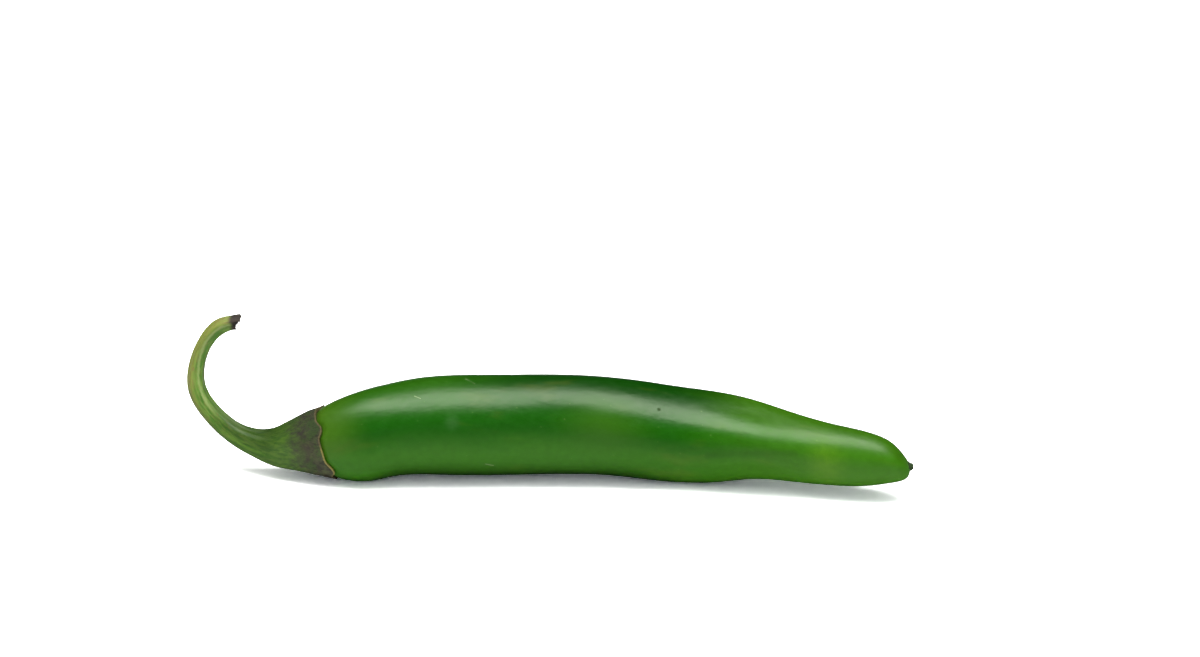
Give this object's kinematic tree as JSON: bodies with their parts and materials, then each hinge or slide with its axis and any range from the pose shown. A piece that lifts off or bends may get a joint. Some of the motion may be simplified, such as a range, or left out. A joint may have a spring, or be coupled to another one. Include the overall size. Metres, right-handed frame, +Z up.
{
  "type": "chilli pepper",
  "caption": "Slender glossy green chilli pepper lying on a surface: gently bent pod with a blunt tip, and a toothed calyx drawn into a hooked stem.",
  "frame": {"origin": "under the middle of the whole pepper's box, on the surface that it rests on", "axes": "+X along the pod from the stem end to the tip, +Y away from the viewer of the picture, +Z up"},
  "size_m": [0.1186, 0.0204, 0.0257],
  "materials": {
    "skin": "gloss",
    "calyx_green": "matte"
  },
  "bodies": {
    "root": {"pod": "skin", "calyx_stem": "calyx_green"}
  },
  "joints": []
}
